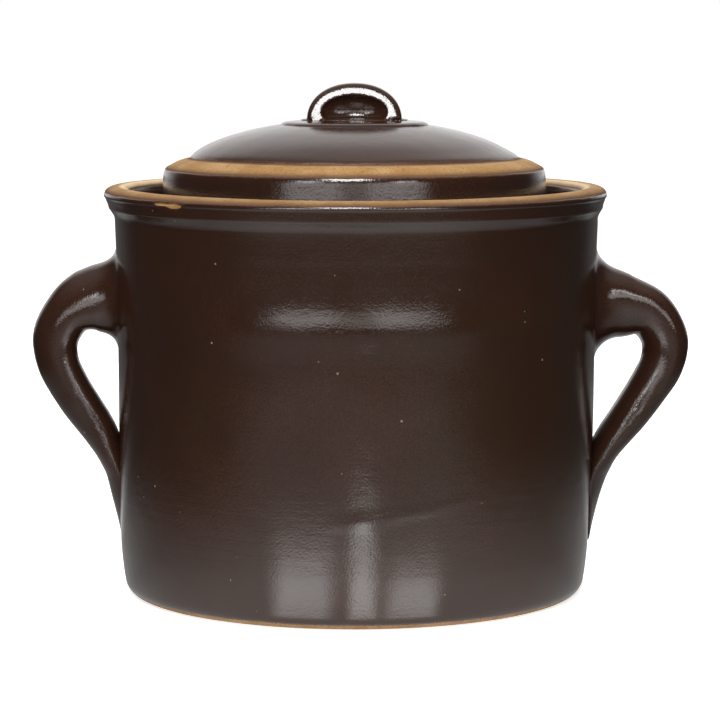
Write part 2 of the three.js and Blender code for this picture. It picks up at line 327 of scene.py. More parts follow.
# Stations down the middle of a pulled handle. Along the arm: distance out from the wall at half
# height, height, half thickness, half width, and how flared the section's edges are (1 is an oval,
# 3 a low ridge that runs out into the wall). Along the tail the middle lies on the wall's surface,
# so the distance out is left off. "lean" slants the section: its outer side lies further back, or
# further forward where lean is below zero.
LEFT_HANDLE = {
    "side": -1,
    "lean": 0.24,
    "arm": [
        (0.0, 137.8, 17.2, 15.5, 1),
        (6.0, 137.6, 16.6, 15.0, 1),
        (14.0, 136.2, 14.4, 14.0, 1),
        (22.7, 130.6, 11.8, 13.0, 1),
        (28.6, 119.5, 11.0, 11.8, 1),
        (27.8, 107.0, 10.1, 11.2, 1),
        (22.0, 94.8, 9.6, 11.6, 1),
        (15.3, 84.6, 9.2, 12.4, 1),
        (8.5, 74.7, 8.3, 13.2, 1.1),
        (3.4, 64.0, 6.6, 13.6, 1.4),
    ],
    "tail": [
        (54.0, 7.2, 13.0, 1.9),
        (44.5, 4.8, 11.2, 2.4),
        (35.0, 2.8, 8.8, 2.9),
        (27.0, 1.2, 6.0, 3),
        (22.0, 0.2, 2.4, 3),
    ],
    "fillet": 8.0,
}
RIGHT_HANDLE = {
    "side": 1,
    "lean": -0.22,
    "arm": [
        (0.0, 135.6, 18.6, 15.5, 1),
        (6.0, 134.8, 17.6, 15.0, 1),
        (14.0, 133.6, 15.6, 14.0, 1),
        (26.4, 130.2, 11.8, 13.0, 1),
        (33.8, 119.2, 10.9, 11.8, 1),
        (33.0, 107.0, 10.1, 11.2, 1),
        (26.2, 94.6, 9.3, 11.8, 1),
        (19.0, 84.0, 8.5, 12.8, 1),
        (12.0, 74.5, 7.8, 13.6, 1.1),
        (5.0, 64.0, 6.7, 14.0, 1.4),
    ],
    "tail": [
        (54.0, 7.3, 13.0, 1.9),
        (44.5, 4.4, 11.2, 2.4),
        (35.0, 2.1, 8.8, 2.9),
        (28.0, 0.7, 6.0, 3),
        (23.0, 0.1, 2.4, 3),
    ],
    "fillet": 9.0,
}
HANDLE_SIDES = 48
# Power of the section's rounding: 1 would be a true oval, less is squarer.
SECTION_POWER = 0.93
# The root is flared out of the wall over this distance, within the first few stations.
ROOT_REACH = 15.0
ROOT_STATIONS = 3
# How far the handle's root starts inside the wall, and how deep its tail lies in it.
ROOT_SINK = 3.0
TAIL_SINK = 2.5
# How much wider a section gets for each step of its flare above 1, as a share of its width.
FLARE_SPREAD = 0.22
# The lumps that pulling leaves on the skin: height and size, coarse and fine.
HANDLE_LUMPS = ((0.40, 15), (0.09, 6.5))
# Far enough apart in the noise that the two handles don't get the same lumps.
LUMP_OFFSET = 48


def spline(stations, share):
    """A smooth curve through rows of numbers, at a share of its length."""
    rows = [np.array(row, float) for row in stations]
    place = share * (len(rows) - 1)
    k = min(int(place), len(rows) - 2)
    t = place - k
    before = rows[max(k - 1, 0)]
    after = rows[min(k + 2, len(rows) - 1)]
    a, b = rows[k], rows[k + 1]
    slope_a, slope_b = (b - before) / 2, (after - a) / 2
    cubic = (2 * t ** 3 - 3 * t * t + 1) * a + (t ** 3 - 2 * t * t + t) * slope_a
    return cubic + (-2 * t ** 3 + 3 * t * t) * b + (t ** 3 - t * t) * slope_b


def fillet_growth(distance, size):
    """How much wider a round fillet of this size makes the root at a distance from the wall."""
    if distance >= size:
        return 0.0
    share = 1 - max(distance, 0) / size
    return size * (1 - math.sqrt(max(0, 1 - share * share)))


def signed_power(value, power):
    return math.copysign(abs(value) ** power, value)


def handle_stations(shape):
    """All stations of a handle, each ending with 0 on the free arm or 1 on the tail."""
    stations = [(*row, 0) for row in shape["arm"]]
    for height, thick, wide, flare in shape["tail"]:
        stations.append((wall_radius(height) - WALL_RADIUS, height, thick, wide, flare, 1))
    return stations


def handle_normal(stations, share, hug):
    """Which way the handle's outer side faces, outward and upward; straight out on the wall."""
    nearby = 0.004
    ahead = spline(stations, min(1, share + nearby))
    behind = spline(stations, max(0, share - nearby))
    along = ahead[:2] - behind[:2]
    along /= np.linalg.norm(along)
    normal = np.array([-along[1], along[0]]) * (1 - hug) + np.array([1, 0]) * hug
    return normal / np.linalg.norm(normal)


def handle_ring(shape, stations, share):
    """One ring of points round the handle, on the +X side."""
    out, height, thick, wide, flare, hug = spline(stations, share)
    hug = min(1, max(0, hug))
    normal = handle_normal(stations, share, hug)
    lean_out = LEAN * shape["side"]
    in_root = share * (len(stations) - 1) < ROOT_STATIONS
    from_wall = WALL_RADIUS + out - wall_radius(height)
    growth = fillet_growth(from_wall, shape["fillet"]) if in_root else 0
    swept = smoothstep(2, ROOT_REACH, from_wall) if in_root else 1
    ring = []
    for k in range(HANDLE_SIDES):
        turn = 2 * math.pi * k / HANDLE_SIDES
        upward = signed_power(math.cos(turn), SECTION_POWER)
        sideways = signed_power(math.sin(turn), SECTION_POWER)
        if upward > 0:
            lift = (thick + growth) * upward ** flare
        else:
            lift = upward * ((thick + growth) * (1 - hug) + TAIL_SINK * hug)
        sideways *= (wide + growth) * (1 + FLARE_SPREAD * (flare - 1))
        sag = WALL_RADIUS - math.sqrt(WALL_RADIUS ** 2 - sideways ** 2) - lean_out
        slant = shape["lean"] * lift * (1 - hug)
        x = WALL_RADIUS + out + normal[0] * lift - hug * sag
        free = (x, sideways + slant, height + normal[1] * lift)
        root_radius = wall_radius(height + lift) + from_wall + lean_out
        root_turn = sideways / WALL_RADIUS
        root = (root_radius * math.cos(root_turn), root_radius * math.sin(root_turn), height + lift)
        ring.append(tuple(a * (1 - swept) + b * swept for a, b in zip(root, free)))
    return ring


def knead(ring, side):
    """Pushes a ring's points in and out, for an uneven skin."""
    middle = np.mean(ring, axis=0)
    kneaded = []
    for x, y, z in ring:
        spot = Vector((x, y, z + LUMP_OFFSET * side))
        lump = sum(height * noise.noise(spot / size) for height, size in HANDLE_LUMPS)
        away = np.array((x, y, z)) - middle
        kneaded.append(np.array((x, y, z)) + away / np.linalg.norm(away) * lump)
    return kneaded


def handle_shares(station_count):
    """Where the rings lie along the handle: closest together over the first stations, at the root."""
    root = 2 / (station_count - 1)
    shares = [step * root for step in (0, 0.03, 0.07, 0.12, 0.18, 0.26, 0.36, 0.48, 0.62, 0.8)]
    return shares + list(np.linspace(root, 1, 76))


def make_handle(name, shape):
    """A pulled handle, its root flared onto the wall and its tail smoothed out down it."""
    stations = handle_stations(shape)
    rings = [handle_ring(shape, stations, share) for share in handle_shares(len(stations))]
    inside = [(x - ROOT_SINK, y, z) for x, y, z in rings[0]]
    rings = [inside] + rings
    points, faces = [], []
    for ring in rings:
        points += [(x * shape["side"], y, z) for x, y, z in knead(ring, shape["side"])]
    for low in range(len(rings) - 1):
        for k in range(HANDLE_SIDES):
            n = (k + 1) % HANDLE_SIDES
            a, b = low * HANDLE_SIDES, (low + 1) * HANDLE_SIDES
            faces.append((a + k, a + n, b + n, b + k))
    for start in (0, (len(rings) - 1) * HANDLE_SIDES):
        centre = len(points)
        points.append(tuple(np.mean(points[start:start + HANDLE_SIDES], axis=0)))
        for k in range(HANDLE_SIDES):
            faces.append((start + k, start + (k + 1) % HANDLE_SIDES, centre))
    return soften_clay(make_object(name, points, faces), voxel=0.8, passes=10)


# ---- The lid ---------------------------------------------------------------------------------

DOME_RADIUS = DOME_FOOT + 2.3
DOME_CENTRE = SHOULDER_EDGE - 0.5
DOME_RISE = BOSS_HIGH.z - DOME_CENTRE + 0.2
VENT_RADIUS = 4.0


def dome_height(r, radius=DOME_RADIUS, centre=DOME_CENTRE, rise=DOME_RISE):
    return centre + rise * math.sqrt(max(0, 1 - (r / radius) ** 2))


def lid_bare_depth(r, z, angle):
    """Bare on the sloping shoulder and under the skirt's foot."""
    shoulder = min(z - (SHOULDER_EDGE - 0.1), r - (DOME_FOOT - 0.3))
    foot = LID_LOW.z + 1.2 - z
    return max(shoulder, foot)


def lid_relief(angle, r, z):
    """Slight lumps, a dome that sits off centre, and four half-round vents in the skirt's foot."""
    out = 0.18 * wander(angle, z, 45, 11) * min(1, r / 40)
    on_dome = smoothstep(SHOULDER_EDGE + 5, SHOULDER_EDGE + 10, z) * min(1, r / 30)
    out -= (1 + math.sin(math.radians(angle))) * on_dome
    up = 0.12 * wander(angle, r, 30, 13) if z > SHOULDER_EDGE + 4 else 0
    if z < LID_LOW.z + VENT_RADIUS and r > SKIRT_INSIDE - 1:
        from_vent = math.radians((angle % 90) - 45) * r
        roof = math.sqrt(max(0, VENT_RADIUS ** 2 - from_vent ** 2))
        up += max(0, LID_LOW.z + roof - z)
    return out, up


def make_lid():
    """The cap: up inside the dome, down the skirt's inside, round its foot and back over the top."""
    path = Outline(0, dome_height(0) - 6.5)
    inside_steps = 14
    for step in range(1, inside_steps + 1):
        r = (DOME_FOOT - 10) * step / inside_steps
        path.line(r, dome_height(r, DOME_RADIUS - 5, DOME_CENTRE - 5, DOME_RISE - 4.5))
    path.bend((SKIRT_INSIDE, SHOULDER_EDGE - 2), (SKIRT_INSIDE, SHOULDER_EDGE - 9), 8)
    path.line(SKIRT_INSIDE, LID_LOW.z + 5, 12)
    path.line(SKIRT_INSIDE, LID_LOW.z + 1.5, 4)
    path.bend((SKIRT_INSIDE, LID_LOW.z), (SKIRT_INSIDE + 1.5, LID_LOW.z), 4)
    path.line(SKIRT_RADIUS - 1.5, LID_LOW.z, 2)
    path.bend((SKIRT_RADIUS, LID_LOW.z), (SKIRT_RADIUS, LID_LOW.z + 1.5), 4)
    path.line(SKIRT_RADIUS, LID_LOW.z + 5, 4)
    path.line(SKIRT_RADIUS + 0.5, SHOULDER_EDGE - 13, 6)
    path.line(SKIRT_RADIUS - 0.1, SHOULDER_EDGE - 3.6, 12)
    path.bend((SKIRT_RADIUS - 0.25, SHOULDER_EDGE - 1.4), (SKIRT_RADIUS - 0.9, SHOULDER_EDGE - 0.2), 8)
    path.bend((SKIRT_RADIUS - 1.5, SHOULDER_EDGE + 0.8), (SKIRT_RADIUS - 2.9, SHOULDER_EDGE + 1.3), 6)
    path.bend((DOME_FOOT + 5, SHOULDER_EDGE + 4.1), (DOME_FOOT + 0.5, SHOULDER_EDGE + 4.6), 8)
    dome_start = DOME_FOOT - 0.9
    path.bend((DOME_FOOT - 0.3, SHOULDER_EDGE + 4.8), (dome_start, dome_height(dome_start)), 3)
    first = math.asin(dome_start / DOME_RADIUS)
    dome_steps = 24
    for step in range(1, dome_steps):
        r = DOME_RADIUS * math.sin(first * (1 - step / dome_steps))
        path.line(r, dome_height(r))
    path.line(0, dome_height(0))
    return turned("lid_cap", path, lid_bare_depth, lid_relief, segments=360)


def make_boss():
    """The flat disc luted on the crown of the dome."""
    radius, top = BOSS_HIGH.x, BOSS_HIGH.z
    path = Outline(0, BOSS_LOW.z).line(radius - 8, BOSS_LOW.z, 6)
    path.line(radius - 0.5, BOSS_LOW.z - 0.9, 4)
    path.bend((radius, BOSS_LOW.z - 0.8), (radius, BOSS_LOW.z - 0.3), 5)
    path.bend((radius - 0.7, top - 1.2), (radius - 2.6, top - 0.85), 8)
    path.bend((radius * 0.76, top - 0.2), (radius * 0.60, top), 12)
    path.line(0, top, 6)

    def relief(angle, r, z):
        return 0.5 * wander(angle, 0, 25, 17) * smoothstep(15, radius, r), 0

    return turned("lid_boss_disc", path, lambda r, z, angle: GLAZE_ONLY, relief, segments=180)


def super_arch(half_width, rise, power, steps):
    """Points over an arch from its +X foot to its -X foot. Power 2 is an ellipse, more is squarer."""
    arch = []
    for step in range(steps + 1):
        turn = math.pi * step / steps
        x = math.copysign(half_width * abs(math.cos(turn)) ** (2 / power), math.cos(turn))
        arch.append((x, rise * max(0, math.sin(turn)) ** (2 / power)))
    return arch


def extrude_arch(name, half_width, rise, depth, foot, power):
    """A slab with an arched outline, whose underside lies 3 mm below the foot's height."""
    arch = super_arch(half_width, rise, power, 40)
    front = [(x, -depth / 2, foot + z) for x, z in arch]
    back = [(x, depth / 2, foot + z) for x, z in arch]
    below = [(-half_width, -depth / 2, foot - 3), (half_width, -depth / 2, foot - 3)]
    front += below
    back += [(x, -y, z) for x, y, z in below]
    count = len(front)
    faces = [tuple(range(count)), tuple(range(count, 2 * count))]
    for k in range(count):
        n = (k + 1) % count
        faces.append((k, n, count + n, count + k))
    return make_object(name, front + back, faces)


def ellipsoid(name, centre, sizes, rings=24, sides=40):
    """A closed ball stretched to three half sizes, used to cut or to build up clay."""
    points = [(centre[0], centre[1], centre[2] - sizes[2])]
    for ring in range(1, rings):
        tilt = math.pi * ring / rings
        for side in range(sides):
            turn = 2 * math.pi * side / sides
            points.append((
                centre[0] + sizes[0] * math.sin(tilt) * math.cos(turn),
                centre[1] + sizes[1] * math.sin(tilt) * math.sin(turn),
                centre[2] - sizes[2] * math.cos(tilt),
            ))
    points.append((centre[0], centre[1], centre[2] + sizes[2]))
    last = len(points) - 1
    faces = []
    for side in range(sides):
        n = (side + 1) % sides
        faces.append((0, 1 + side, 1 + n))
        faces.append((last, last - sides + side, last - sides + n))
        for ring in range(rings - 2):
            a, b = 1 + ring * sides, 1 + (ring + 1) * sides
            faces.append((a + side, a + n, b + n, b + side))
    return make_object(name, points, faces)


def apply_modifiers(made):
    """Bakes the modifiers of an object into its mesh."""
    graph = bpy.context.evaluated_depsgraph_get()
    baked = bpy.data.meshes.new_from_object(made.evaluated_get(graph))
    made.modifiers.clear()
    made.data = baked


def combine(made, tool, operation):
    """Joins or cuts with a tool piece, which is used up."""
    modifier = made.modifiers.new("combine", "BOOLEAN")
    modifier.operation = operation
    modifier.solver = "EXACT"
    modifier.object = tool
    bpy.context.view_layer.update()
    apply_modifiers(made)
    bpy.data.objects.remove(tool)


def round_edges(made, width, segments, angle):
    """Bevels the edges that are sharper than an angle in degrees."""
    bevel = made.modifiers.new("edge", "BEVEL")
    bevel.width = width * MM
    bevel.segments = segments
    bevel.angle_limit = math.radians(angle)


def soften_clay(made, voxel, passes):
    """Rebuilds a piece as one even skin and smooths it, the way wet clay is wiped with a sponge."""
    remesh = made.modifiers.new("remesh", "REMESH")
    remesh.mode = "VOXEL"
    remesh.voxel_size = voxel * MM
    soften = made.modifiers.new("soften", "SMOOTH")
    soften.factor = 0.5
    soften.iterations = passes
    apply_modifiers(made)
    set_measure(made, "bare", [GLAZE_ONLY] * len(made.data.vertices))
    shade_smooth(made.data)
    return made


def make_grip():
    """The grip: an arch whose faces lean in towards the top, scooped out front and back."""
    foot, top = BOSS_HIGH.z, GRIP_HIGH.z
    half_width, squareness = 22.0, 2.15
    depth_below, depth_above = 23.0, 13.0
    rise = top - foot + 0.2
    grip = extrude_arch("lid_grip_arch", half_width, rise, depth_below, foot, squareness)
    for vertex in grip.data.vertices:
        share = max(0, (vertex.co.z / MM - foot) / (top - foot))
        vertex.co.y *= 1 - share * (1 - depth_above / depth_below)
    round_edges(grip, 2.4, segments=5, angle=50)
    apply_modifiers(grip)
    for side in (-1, 1):
        scoop = ellipsoid("scoop", (0, side * (depth_below / 2 + 0.4), foot + 4.6), (15.6, 8.4, 8.2))
        combine(grip, scoop, "DIFFERENCE")
    combine(grip, ellipsoid("smear", (0, 0, foot), (25.0, 15.0, 1.3)), "UNION")
    return soften_clay(grip, voxel=0.4, passes=6)


# ---- Weighting stones ------------------------------------------------------------------------

def half_round(radius, straight_edge, steps):
    """Points round a half circle that stops at a straight edge, from the back to the front."""
    first = math.asin(straight_edge / radius)
    turns = [first + (math.pi - 2 * first) * step / steps for step in range(steps + 1)]
    return [(radius * math.sin(turn), radius * math.cos(turn)) for turn in turns]


def make_stone(name, node, side):
    """Half a disc with a thumb notch in its straight edge, hand-finished with soft edges."""
    low, high = cad_box(node)
    straight_edge, notch_radius = 1.0, 13.0
    outline = half_round(high.y, straight_edge, 60)
    outline += reversed(half_round(notch_radius, straight_edge, 20))
    count = len(outline)
    points = [(side * x, y, low.z) for x, y in outline] + [(side * x, y, high.z) for x, y in outline]
    faces = [tuple(range(count)), tuple(range(count, 2 * count))]
    faces += [(k, (k + 1) % count, count + (k + 1) % count, count + k) for k in range(count)]
    stone = make_object(name, points, faces)
    round_edges(stone, 2.2, segments=4, angle=40)
    return soften_clay(stone, voxel=1.1, passes=4)


# ---- Materials -------------------------------------------------------------------------------

class Nodes:
    """Adds shader nodes to a tree and wires them, one call for each."""

    def __init__(self, tree):
        self.tree = tree
        tree.nodes.clear()

    def add(self, kind, settings=None, **inputs):
        node = self.tree.nodes.new(kind)
        for key, value in (settings or {}).items():
            setattr(node, key, value)
        for key, value in inputs.items():
            self.set(node, key.replace("_", " "), value)
        return node

    def set(self, node, key, value):
        socket = node.inputs[key]
        if isinstance(value, bpy.types.NodeSocket):
            self.tree.links.new(value, socket)
        else:
            socket.default_value = value

    def math(self, operation, a, b=0.0, clamp=False):
        node = self.add("ShaderNodeMath", {"operation": operation, "use_clamp": clamp})
        self.set(node, 0, a)
        self.set(node, 1, b)
        return node.outputs[0]

    def spread(self, value, low, high, to_low=0.0, to_high=1.0):
        """Maps a range of a value onto another, held at its ends."""
        node = self.add("ShaderNodeMapRange", {"interpolation_type": "SMOOTHSTEP"})
        names = ("Value", "From Min", "From Max", "To Min", "To Max")
        for name, setting in zip(names, (value, low, high, to_low, to_high)):
            self.set(node, name, setting)
        return node.outputs[0]

    def total(self, *values):
        """Values added up in order."""
        result = values[0]
        for value in values[1:]:
            result = self.math("ADD", result, value)
        return result

    def product(self, *values):
        """Values multiplied in order."""
        result = values[0]
        for value in values[1:]:
            result = self.math("MULTIPLY", result, value)
        return result

    def mix(self, share, a, b):
        """A colour between a (share 0) and b (share 1)."""
        node = self.add("ShaderNodeMix", {"data_type": "RGBA"})
        for key, value in ((0, share), (6, a), (7, b)):
            self.set(node, key, value)
        return node.outputs[2]

    def noise(self, place, scale, detail=2.0, roughness=0.5):
        node = self.add("ShaderNodeTexNoise", Vector=place, Scale=scale, Detail=detail, Roughness=roughness)
        return node.outputs["Fac"]

    def spots(self, place, scale, radius, share):
        """Round spots, one in some of the cells of a grid: 1 inside, 0 outside."""
        cells = self.add("ShaderNodeTexVoronoi", Vector=place, Scale=scale)
        chosen = self.add("ShaderNodeSeparateColor", Color=cells.outputs["Color"])
        present = self.math("LESS_THAN", chosen.outputs[0], share)
        size = self.spread(chosen.outputs[1], 0, 1, radius * 0.4, radius)
        inside = self.math("SUBTRACT", size, cells.outputs["Distance"])
        edge = self.spread(inside, 0, radius * 0.35)
        return self.product(edge, present)

    def measure(self, name):
        """A number that the mesh stores for each of its points."""
        return self.add("ShaderNodeAttribute", {"attribute_name": name}).outputs["Fac"]

    def bump(self, height):
        """Surface normals from a height in millimetres."""
        return self.add("ShaderNodeBump", Strength=1.0, Distance=MM, Height=height).outputs[0]

    def blend(self, share, first, second):
        """One shader where share is 0 and another where it is 1."""
        mixed = self.add("ShaderNodeMixShader")
        for key, value in ((0, share), (1, first), (2, second)):
            self.set(mixed, key, value)
        return mixed.outputs[0]

    def both(self, first, second):
        """Two shaders added together."""
        added = self.add("ShaderNodeAddShader")
        self.set(added, 0, first)
        self.set(added, 1, second)
        return added.outputs[0]

    def finish(self, surface, kind="ShaderNodeOutputMaterial"):
        self.set(self.add(kind), "Surface", surface)


def new_material(name):
    material = bpy.data.materials.new(name)
    material.use_nodes = True
    return material, Nodes(material.node_tree)


def place_of(nodes, stretch=None):
    """Object coordinates in metres, squeezed by stretch along each axis."""
    coordinates = nodes.add("ShaderNodeTexCoord").outputs["Object"]
    if stretch is None:
        return coordinates
    return nodes.add("ShaderNodeMapping", Vector=coordinates, Scale=stretch).outputs[0]


def flat_distance(nodes, axes):
    """How far a point lies from the upright axis."""
    x, y = axes.outputs[0], axes.outputs[1]
    return nodes.math("SQRT", nodes.total(nodes.product(x, x), nodes.product(y, y)))


GLAZE_DEEP = (0.0262, 0.0110, 0.0066, 1)
GLAZE_RED = (0.0330, 0.0128, 0.0072, 1)
GLAZE_OLIVE = (0.0270, 0.0134, 0.0068, 1)
GLAZE_GRAIN = (0.0170, 0.0068, 0.0040, 1)
GLAZE_THIN = (0.085, 0.038, 0.020, 1)
PALE_FLECK = (0.36, 0.27, 0.20, 1)
CLAY_TAN = (0.285, 0.149, 0.040, 1)
CLAY_PALE = (0.370, 0.222, 0.090, 1)
CLAY_RUST = (0.19, 0.072, 0.018, 1)
CLAY_GRAIN = (0.13, 0.052, 0.014, 1)
IRON_SPECK = (0.06, 0.030, 0.016, 1)
# Painted shade: darker clay for the rim's steep outer edge.
RIM_EDGE_SHADE = (0.150, 0.070, 0.024, 1)
STAINED_CLAY = (0.085, 0.036, 0.013, 1)
# Painted highlight: paler clay for the rim's top, which faces the lamps.
RIM_TOP_HIGHLIGHT = (0.66, 0.50, 0.31, 1)
BROKEN_CLAY = (0.62, 0.31, 0.09, 1)


def glaze_colour(nodes, place):
    """Dark brown with slow drifts to red and olive, a fine dark grain and sparse pale flecks."""
    drift = nodes.noise(place, 16, 3)
    colour = nodes.mix(nodes.spread(drift, 0.42, 0.66), GLAZE_DEEP, GLAZE_RED)
    olive = nodes.noise(place_of(nodes, (1, 1, 0.5)), 9, 2)
    colour = nodes.mix(nodes.spread(olive, 0.50, 0.68), colour, GLAZE_OLIVE)
    mottle = nodes.noise(place, 420, 3, 0.6)
    colour = nodes.mix(nodes.spread(mottle, 0.50, 0.80, 0, 0.45), colour, GLAZE_RED)
    grain = nodes.noise(place, 1000, 2, 0.6)
    colour = nodes.mix(nodes.spread(grain, 0.36, 0.66, 0.0, 0.5), colour, GLAZE_GRAIN)
    flecks = nodes.spots(place, 110, 0.066, 0.5)
    return nodes.mix(nodes.product(flecks, 0.7), colour, PALE_FLECK)


def clay_colour(nodes, place):
    """Tan fired clay, streaked, with rusty patches, a dark grain and iron specks."""
    tone = nodes.noise(place, 60, 4, 0.6)
    colour = nodes.mix(nodes.spread(tone, 0.38, 0.66), CLAY_TAN, CLAY_PALE)
    rust = nodes.noise(place, 130, 3)
    colour = nodes.mix(nodes.spread(rust, 0.58, 0.74, 0, 0.55), colour, CLAY_RUST)
    grain = nodes.noise(place, 1150, 2, 0.7)
    colour = nodes.mix(nodes.spread(grain, 0.53, 0.64, 0, 0.7), colour, CLAY_GRAIN)
    specks = nodes.spots(place, 430, 0.20, 0.34)
    return nodes.mix(nodes.product(specks, 0.8), colour, IRON_SPECK)


def ragged_depth(nodes, place):
    """The mesh's depth into bare clay in millimetres, with the glaze line made ragged."""
    slow = nodes.product(nodes.math("SUBTRACT", nodes.noise(place, 110, 2), 0.5), 0.7)
    fine = nodes.product(nodes.math("SUBTRACT", nodes.noise(place, 900, 3, 0.7), 0.5), 1.1)
    return nodes.total(nodes.measure("bare"), nodes.total(slow, fine))


def bare_clay_colour(nodes, place, ragged):
    """Bare clay as it has aged: stained along the glaze and fresh in the chip and on the foot, with painted
    shade towards the rim's outer edge and a painted highlight on the rim's top towards the channel. The
    limits are places in metres."""
    axes = nodes.add("ShaderNodeSeparateXYZ", Vector=place)
    height = axes.outputs[2]
    across = flat_distance(nodes, axes)
    rim_height = RIM_TOP * MM
    rim_radius = RIM_RADIUS * MM
    aged = nodes.spread(height, rim_height - 0.0045, rim_height - 0.0037, 0.15, 1.0)
    # Painted shade: the bare clay darkens towards the rim's outer edge, where its face turns steep.
    edge_shade = nodes.product(nodes.spread(across, rim_radius - 0.0071, rim_radius - 0.0021, 0.0, 0.35), aged)
    colour = nodes.mix(edge_shade, clay_colour(nodes, place), RIM_EDGE_SHADE)
    # Painted highlight: the rim's top towards the channel is made paler, where it faces the light from
    # above.
    top_highlight = nodes.product(
        nodes.spread(across, rim_radius - 0.0091, rim_radius - 0.0066, 0.8, 0.0),
        nodes.spread(across, 0.100, 0.103),
        nodes.spread(height, 0.150, 0.170),
    )
    colour = nodes.mix(top_highlight, colour, RIM_TOP_HIGHLIGHT)
    broken = nodes.product(nodes.math("SUBTRACT", 1.0, aged), nodes.spread(height, 0.100, 0.120))
    colour = nodes.mix(nodes.product(broken, 0.6), colour, BROKEN_CLAY)
    stain = nodes.product(nodes.spread(ragged, 0.1, 2.5, 0.95, 0.0), aged)
    return nodes.mix(stain, colour, STAINED_CLAY)


def stoneware_roughness(nodes, place, bare):
    """Glossy glaze that is duller in patches and lower down, and nearly matt clay."""
    height = nodes.add("ShaderNodeSeparateXYZ", Vector=place).outputs[2]
    satin = nodes.spread(height, 0.06, 0.16, 0.05, 0.0)
    uneven = nodes.total(nodes.spread(nodes.noise(place, 35, 3), 0.3, 0.7, 0.09, 0.15), satin)
    return nodes.math("ADD", uneven, nodes.product(bare, 0.62), clamp=True)


def stoneware_height(nodes, place, ragged, bare):
    """Orange peel, swellings, turning marks and pin holes in the glaze, a step down to the clay,
    and the clay's sand."""
    peel = nodes.product(nodes.noise(place, 1100, 2), 0.07)
    swell = nodes.product(nodes.noise(place, 100, 2), 0.12)
    wheel = nodes.product(nodes.noise(place_of(nodes, (0.04, 0.04, 1)), 420, 2), 0.035)
    pits = nodes.product(nodes.spots(place, 120, 0.06, 0.12), 0.25)
    glaze = nodes.math("SUBTRACT", nodes.total(peel, swell, wheel), pits)
    step = nodes.product(nodes.spread(ragged, -0.5, 0.15), -0.22)
    sand = nodes.product(nodes.noise(place, 2400, 3, 0.7), 0.16)
    glazed = nodes.math("SUBTRACT", 1.0, bare)
    return nodes.total(nodes.product(glaze, glazed), nodes.total(step, nodes.product(sand, bare)))


def stoneware():
    """Brown glaze that gives way to bare clay where the mesh's bare measure is above zero."""
    material, nodes = new_material("stoneware")
    place = place_of(nodes)
    ragged = ragged_depth(nodes, place)
    bare = nodes.spread(ragged, -0.12, 0.12)
    thin = nodes.product(nodes.spread(ragged, -1.1, 0.0), 0.75)
    glaze = nodes.mix(thin, glaze_colour(nodes, place), GLAZE_THIN)
    colour = nodes.mix(bare, glaze, bare_clay_colour(nodes, place, ragged))
    roughness = stoneware_roughness(nodes, place, bare)
    normal = nodes.bump(stoneware_height(nodes, place, ragged, bare))
    shader = nodes.add("ShaderNodeBsdfPrincipled", Base_Color=colour, Roughness=roughness,
                       Normal=normal, IOR=1.52)
    nodes.finish(shader.outputs[0])
    return material


def stone_clay():
    """Unglazed clay for the weighting stones."""
    material, nodes = new_material("stone_clay")
    place = place_of(nodes)
    sand = nodes.noise(place, 1800, 3, 0.7)
    swell = nodes.noise(place, 90, 3)
    normal = nodes.bump(nodes.total(nodes.product(sand, 0.15), nodes.product(swell, 0.3)))
    roughness = nodes.spread(swell, 0.3, 0.7, 0.72, 0.88)
    shader = nodes.add("ShaderNodeBsdfPrincipled", Base_Color=clay_colour(nodes, place),
                       Roughness=roughness, Normal=normal)
    nodes.finish(shader.outputs[0])
    return material


# ---- Assembly --------------------------------------------------------------------------------

def dress(piece, material, body, node):
    """Gives a piece its material, its body, and the CAD node that it stands for."""
    piece.data.materials.clear()
    piece.data.materials.append(material)
    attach(piece, body)
    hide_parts(node)


def build_object():
    glazed = stoneware()
    unglazed = stone_clay()
    dress(make_pot(), glazed, "crock", "crock_body")
    dress(make_channel_ring(), glazed, "crock", "channel_ring")
    dress(make_handle("handle_left_pulled", LEFT_HANDLE), glazed, "crock", "handle_left")
    dress(make_handle("handle_right_pulled", RIGHT_HANDLE), glazed, "crock", "handle_right")
    dress(make_lid(), glazed, "lid", "lid_cover")
    dress(make_boss(), glazed, "lid", "lid_boss")
    dress(make_grip(), glazed, "lid", "lid_grip")
    for side, word in ((1, "right"), (-1, "left")):
        node = "weight_stone_" + word
        stone = make_stone("half_moon_" + word, node, side)
        dress(stone, unglazed, "stone_" + word, node)


# ---- Studio ----------------------------------------------------------------------------------

def towards(nodes, axes, sign, narrow, wide):
    """1 along the front (sign -1) or the back (sign 1) of the room, fading to 0 round the sides.

    The two limits are cosines of the angle away from that direction, seen from above."""
    along = nodes.product(axes.outputs[1], sign)
    cosine = nodes.math("DIVIDE", along, nodes.total(flat_distance(nodes, axes), 0.0001))
    return nodes.spread(cosine, wide, narrow)


def camera_sees(nodes, seen, unseen):
    """One shader for the camera, and another for the reflections and the light on the pot."""
    direct = nodes.add("ShaderNodeLightPath").outputs["Is Camera Ray"]
    return nodes.blend(direct, unseen, seen)


